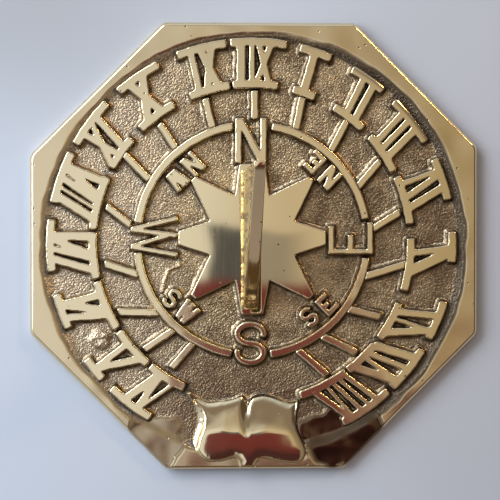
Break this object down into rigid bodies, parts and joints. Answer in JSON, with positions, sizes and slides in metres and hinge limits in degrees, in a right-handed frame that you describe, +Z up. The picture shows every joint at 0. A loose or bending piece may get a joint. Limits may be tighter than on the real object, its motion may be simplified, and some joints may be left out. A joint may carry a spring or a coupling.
{
  "type": "sundial",
  "caption": "Octagonal cast brass horizontal garden sundial with raised Roman hour numerals, a compass rose and a fixed triangular gnomon.",
  "frame": {"origin": "middle of the flat back of the plate, on the surface it lies on", "axes": "+Z up out of the face, +Y toward the north side (the XII numeral and the high end of the gnomon), +X toward the east side (the afternoon hours)"},
  "size_m": [0.2006, 0.2, 0.0901],
  "materials": {
    "cast_brass_ground": "sand cast, brown patina",
    "cast_brass_polished": "polished",
    "gnomon_brass": "polished",
    "screw_brass": "turned, dull"
  },
  "bodies": {
    "root": {"dial_plate": "cast_brass_ground", "compass_rose": "cast_brass_polished", "chapter_ring_ne": "cast_brass_polished", "chapter_ring_se": "cast_brass_polished", "chapter_ring_sw": "cast_brass_polished", "chapter_ring_nw": "cast_brass_polished", "hour_line_iv_am": "cast_brass_polished", "hour_line_v_am": "cast_brass_polished", "hour_line_vi_am": "cast_brass_polished", "hour_line_vii_am": "cast_brass_polished", "hour_line_viii_am": "cast_brass_polished", "hour_line_ix": "cast_brass_polished", "hour_line_x": "cast_brass_polished", "hour_line_xi": "cast_brass_polished", "hour_line_xii": "cast_brass_polished", "hour_line_i": "cast_brass_polished", "hour_line_ii": "cast_brass_polished", "hour_line_iii": "cast_brass_polished", "hour_line_iv_pm": "cast_brass_polished", "hour_line_v_pm": "cast_brass_polished", "hour_line_vi_pm": "cast_brass_polished", "hour_line_vii_pm": "cast_brass_polished", "hour_line_viii_pm": "cast_brass_polished", "numeral_iv_am": "cast_brass_polished", "numeral_v_am": "cast_brass_polished", "numeral_vi_am": "cast_brass_polished", "numeral_vii_am": "cast_brass_polished", "numeral_viii_am": "cast_brass_polished", "numeral_ix": "cast_brass_polished", "numeral_x": "cast_brass_polished", "numeral_xi": "cast_brass_polished", "numeral_xii": "cast_brass_polished", "numeral_i": "cast_brass_polished", "numeral_ii": "cast_brass_polished", "numeral_iii": "cast_brass_polished", "numeral_iv_pm": "cast_brass_polished", "numeral_v_pm": "cast_brass_polished", "numeral_vi_pm": "cast_brass_polished", "numeral_vii_pm": "cast_brass_polished", "numeral_viii_pm": "cast_brass_polished", "letter_n": "cast_brass_polished", "letter_e": "cast_brass_polished", "letter_s": "cast_brass_polished", "letter_w": "cast_brass_polished", "letters_ne": "cast_brass_polished", "letters_se": "cast_brass_polished", "letters_sw": "cast_brass_polished", "letters_nw": "cast_brass_polished", "cartouche": "cast_brass_polished", "gnomon": "gnomon_brass", "gnomon_screw_south": "screw_brass", "gnomon_screw_north": "screw_brass"}
  },
  "joints": []
}
